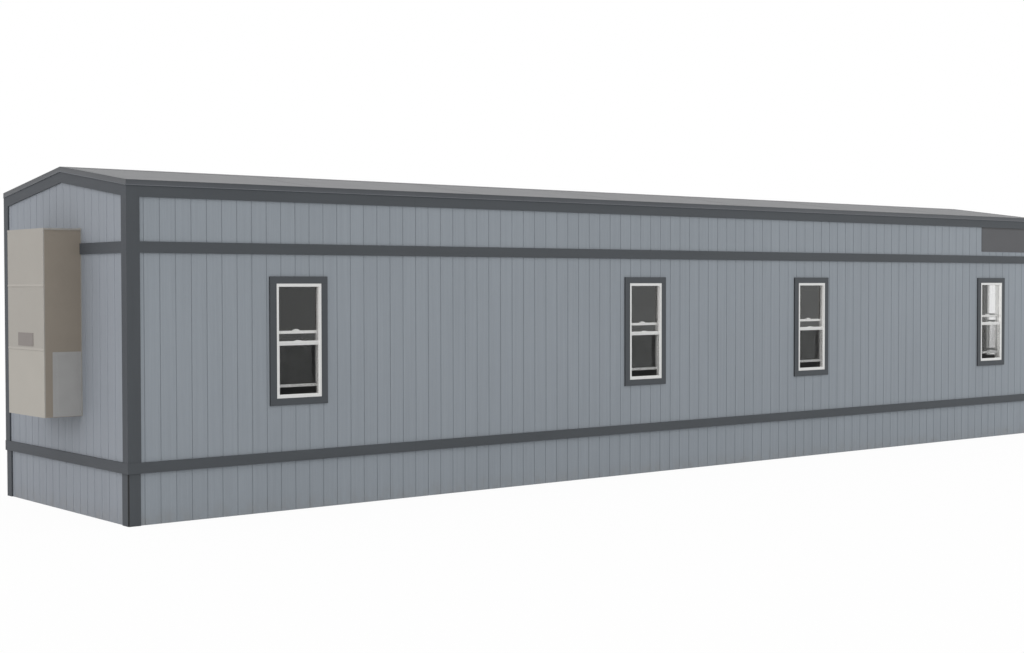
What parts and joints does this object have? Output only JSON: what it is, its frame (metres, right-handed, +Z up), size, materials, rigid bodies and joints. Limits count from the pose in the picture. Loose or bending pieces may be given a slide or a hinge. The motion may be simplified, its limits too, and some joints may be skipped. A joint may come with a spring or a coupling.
{
  "type": "portable site cabin",
  "caption": "Long single-storey site office box on a steel chassis, with grooved siding, dark trim, single-hung windows, ground skirt, low gable roof and an end-mounted air conditioner.",
  "frame": {"origin": "on the ground under the middle of the overall box", "axes": "+X along the cabin away from the air conditioner, -Y out of the long window side, +Z up"},
  "size_m": [18.798, 3.641, 4.242],
  "materials": {
    "siding_paint": "painted, vertical grain",
    "trim_paint": "satin paint",
    "roof_sheet": "matt grey",
    "edge_metal": "satin paint",
    "lining": "matt panel",
    "deck": "sheet flooring",
    "vinyl": "white satin",
    "glass": "clear",
    "mesh": "fine woven screen",
    "ac_paint": "beige textured paint",
    "ac_shade": "taupe textured paint",
    "guard_metal": "grey paint",
    "chassis_paint": "black paint",
    "block": "rough grey block",
    "lever_metal": "brushed"
  },
  "bodies": {
    "root": {"main_beams": "chassis_paint", "cross_members": "chassis_paint", "outriggers": "chassis_paint", "piers": "block", "floor_frame": "chassis_paint", "floor_deck": "deck", "ceiling": "lining", "front_wall": "lining", "back_wall": "lining", "left_end_wall": "lining", "right_end_wall": "lining", "front_siding": "siding_paint", "back_siding": "siding_paint", "left_end_siding": "siding_paint", "right_end_siding": "siding_paint", "front_skirt": "siding_paint", "back_skirt": "siding_paint", "left_end_skirt": "siding_paint", "right_end_skirt": "siding_paint", "skirt_corner_boards": "trim_paint", "lower_belt_sides": "trim_paint", "lower_belt_ends": "trim_paint", "upper_belt": "trim_paint", "corner_boards": "trim_paint", "fascia_boards": "trim_paint", "rake_boards": "trim_paint", "roof_front_slope": "roof_sheet", "roof_back_slope": "roof_sheet", "eave_drip_edges": "edge_metal", "rake_drip_edges": "edge_metal", "window_casings": "trim_paint", "window_frames": "vinyl", "lower_sashes": "vinyl", "window_glass": "glass", "insect_screens": "mesh", "door_casing": "trim_paint", "door_frame": "trim_paint", "door_leaf": "edge_metal", "door_lever": "lever_metal", "ac_cabinet": "ac_shade", "ac_front_panels": "ac_paint", "ac_top_cap": "ac_paint", "ac_coil_guards": "guard_metal", "ac_vent_plate": "ac_shade", "sign_board": "trim_paint"}
  },
  "joints": []
}
